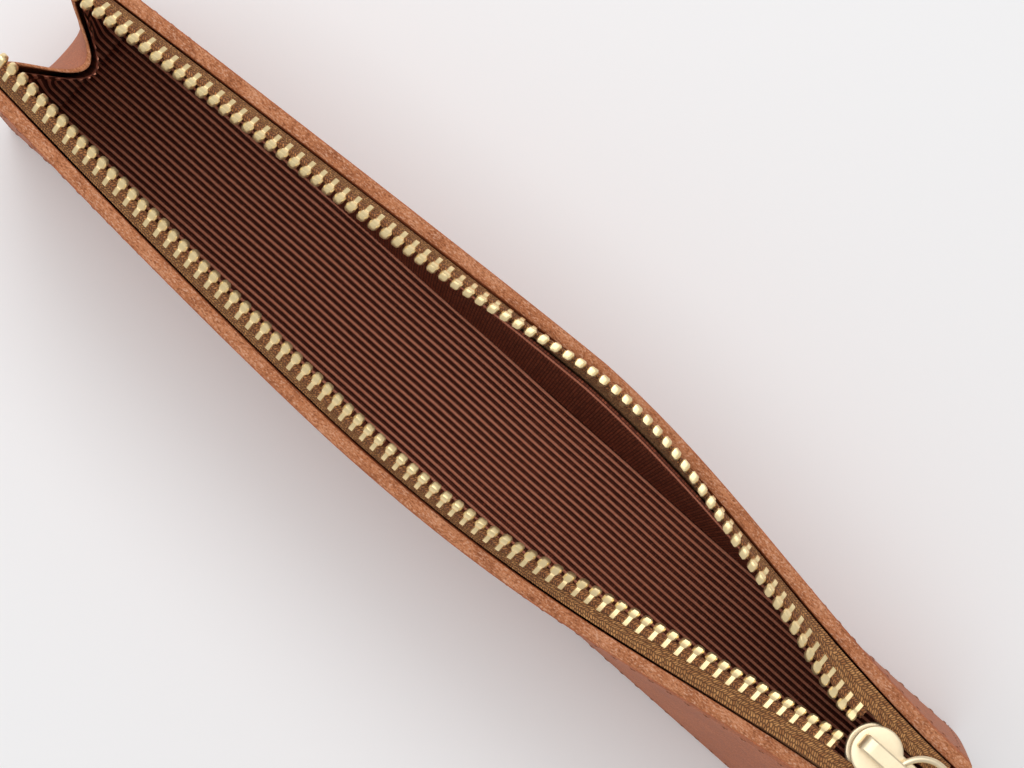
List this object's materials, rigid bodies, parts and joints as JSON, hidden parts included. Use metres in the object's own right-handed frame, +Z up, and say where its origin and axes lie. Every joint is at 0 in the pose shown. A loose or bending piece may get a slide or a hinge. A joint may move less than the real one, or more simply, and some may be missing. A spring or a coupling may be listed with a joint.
{
  "type": "fountain pen case",
  "caption": "Slim leather zip case for one fountain pen, standing open on its base, with a ribbed lining, metal zip, slider and ring pull.",
  "frame": {"origin": "middle of the underside", "axes": "+X along the case, from the open end to the end where the slider rests; +Z up; -Y is the front"},
  "size_m": [0.177, 0.0359, 0.0452],
  "materials": {
    "leather": "vegetable-tanned, satin grain with raw cut edges",
    "lining": "ribbed grosgrain",
    "zip_tape": "coarse woven zip tape",
    "teeth_brass": "polished pale brass",
    "slider_metal": "satin pale gold plate",
    "thread": "waxed thread"
  },
  "bodies": {
    "case": {"base_panel": "leather", "open_end_gusset": "leather", "slider_end_wall": "leather", "lining_base": "lining", "lining_open_end": "lining", "lining_slider_end": "lining", "side_panel_front": "leather", "side_panel_back": "leather", "lining_front": "lining", "lining_back": "lining", "tape_front_end": "zip_tape", "tape_back_end": "zip_tape", "closed_chain": "teeth_brass", "bottom_stop": "teeth_brass", "rim_seam_front": "thread", "rim_seam_back": "thread", "panel_seam_front": "thread", "panel_seam_back": "thread"},
    "mouth_front_open": {"tape_front_open_half": "zip_tape", "teeth_front_open_half": "teeth_brass", "top_stop_front": "teeth_brass"},
    "mouth_front_slider": {"tape_front_slider_half": "zip_tape", "teeth_front_slider_half": "teeth_brass"},
    "mouth_back_open": {"tape_back_open_half": "zip_tape", "teeth_back_open_half": "teeth_brass", "top_stop_back": "teeth_brass"},
    "mouth_back_slider": {"tape_back_slider_half": "zip_tape", "teeth_back_slider_half": "teeth_brass"},
    "slider": {"slider_body": "slider_metal"},
    "pull_ring": {"pull_ring": "slider_metal"}
  },
  "joints": [
    {"name": "slider_travel", "type": "slide", "parent": "case", "child": "slider", "axis": [-1, 0, 0], "range_m": [0, 0.154]},
    {"name": "ring_swing", "type": "hinge", "parent": "slider", "child": "pull_ring", "pos_m": [0.0772, 0.0015, 0.04345], "axis": [0, -1, 0], "range_deg": [0, 170]},
    {"name": "front_open_close", "type": "hinge", "parent": "case", "child": "mouth_front_open", "pos_m": [-0.1187, -0.0095, 0.04], "axis": [0, 0, 1], "range_deg": [0, 5.7], "deforming": ["tape_front_open_half", "teeth_front_open_half"]},
    {"name": "front_slider_close", "type": "hinge", "parent": "case", "child": "mouth_front_slider", "pos_m": [0.074, -0.0045, 0.04], "axis": [0, 0, -1], "range_deg": [0, 7.69], "deforming": ["tape_front_slider_half", "teeth_front_slider_half"]},
    {"name": "back_open_close", "type": "hinge", "parent": "case", "child": "mouth_back_open", "pos_m": [-0.1369, 0.0083, 0.04], "axis": [0, 0, -1], "range_deg": [0, 3.32], "deforming": ["tape_back_open_half", "teeth_back_open_half"]},
    {"name": "back_slider_close", "type": "hinge", "parent": "case", "child": "mouth_back_slider", "pos_m": [0.074, 0.0075, 0.04], "axis": [0, 0, 1], "range_deg": [0, 7.61], "deforming": ["tape_back_slider_half", "teeth_back_slider_half"]}
  ],
  "couplings": [
    {"joint": "front_open_close", "follows": "slider_travel", "rad_per_m": 0.6455},
    {"joint": "front_slider_close", "follows": "slider_travel", "rad_per_m": 0.8708},
    {"joint": "back_open_close", "follows": "slider_travel", "rad_per_m": 0.3758},
    {"joint": "back_slider_close", "follows": "slider_travel", "rad_per_m": 0.8623}
  ]
}
